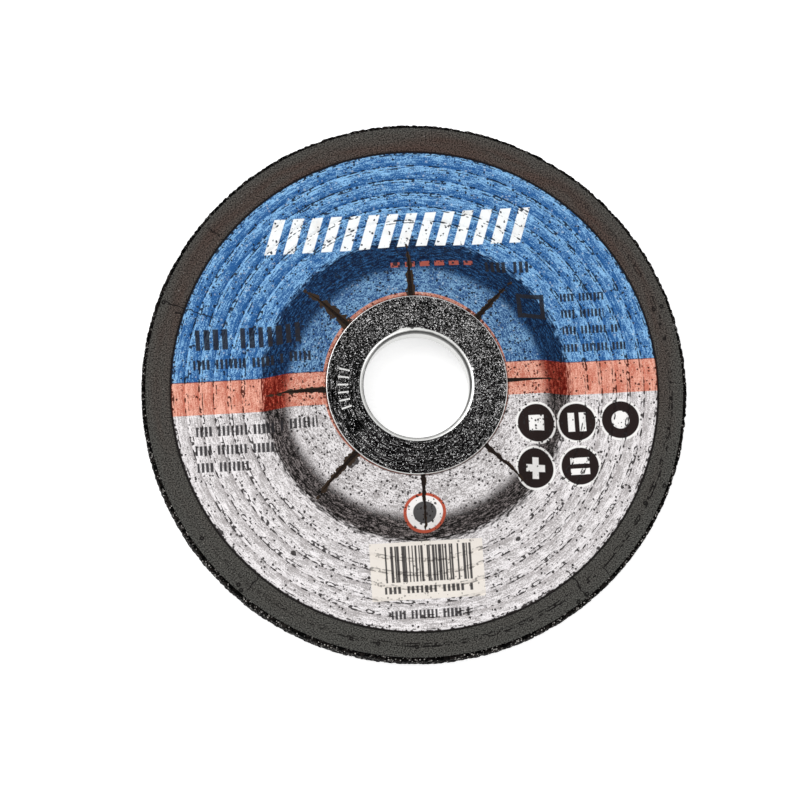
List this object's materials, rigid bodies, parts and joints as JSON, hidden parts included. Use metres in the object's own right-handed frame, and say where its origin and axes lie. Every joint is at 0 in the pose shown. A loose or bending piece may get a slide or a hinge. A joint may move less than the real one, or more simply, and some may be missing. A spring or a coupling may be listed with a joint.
{
  "type": "grinding disc",
  "caption": "Depressed-centre grinding disc with a thick flat rim, a raised hub, a steel centre ring and a three-colour printed label.",
  "frame": {"origin": "on the axis of the bore, at the flat working face that the disc lies on", "axes": "+Z along the bore axis, from the working face to the raised hub and the label; +X along the orange band of the label"},
  "size_m": [0.115, 0.115, 0.0112],
  "materials": {
    "bonded_grit": "rough",
    "black_paper": "matt",
    "printed_paper": "matt",
    "pressed_steel": "satin"
  },
  "bodies": {
    "root": {"abrasive_wheel": "bonded_grit", "backing_paper": "black_paper", "printed_label": "printed_paper", "centre_ring": "pressed_steel"}
  },
  "joints": []
}
